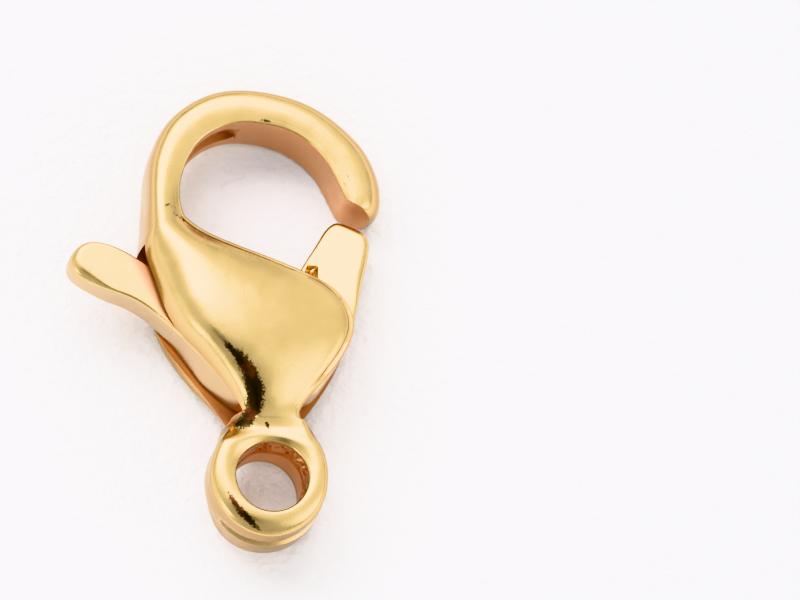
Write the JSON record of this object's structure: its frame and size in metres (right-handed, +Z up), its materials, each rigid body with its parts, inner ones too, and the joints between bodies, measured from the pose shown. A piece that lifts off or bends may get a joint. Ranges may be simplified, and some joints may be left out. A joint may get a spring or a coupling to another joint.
{
  "type": "lobster clasp",
  "caption": "Small gold-plated lobster clasp for jewellery: a hooked, slotted body with a round eye and a sprung thumb lever that closes its throat.",
  "frame": {"origin": "centre of the hole in the eye, at the middle of its thickness", "axes": "+Y from the eye towards the hook along the longest extent, +Z up from the surface that the clasp lies on, through its thickness, and +X away from the thumb tab"},
  "size_m": [0.0081, 0.0121, 0.0033],
  "materials": {
    "body_gold": "polished gold plating over steel",
    "lever_gold": "polished gold plating over steel, pale on the flat faces",
    "pin_gold": "polished gold plating over steel",
    "spring_gold": "bright strip spring"
  },
  "bodies": {
    "clasp": {"body": "body_gold", "pivot_pin": "pin_gold", "spring": "spring_gold"},
    "lever": {"lever": "lever_gold"}
  },
  "joints": [
    {"name": "lever_hinge", "type": "hinge", "parent": "clasp", "child": "lever", "pos_m": [-0.00011, 0.00272, -0.00008], "axis": [0.1529, 0.0349, 0.9876], "range_deg": [0, 25], "stiffness_Nm_per_rad": 0.01, "springref_deg": -17.19, "deforming": ["spring"]}
  ]
}
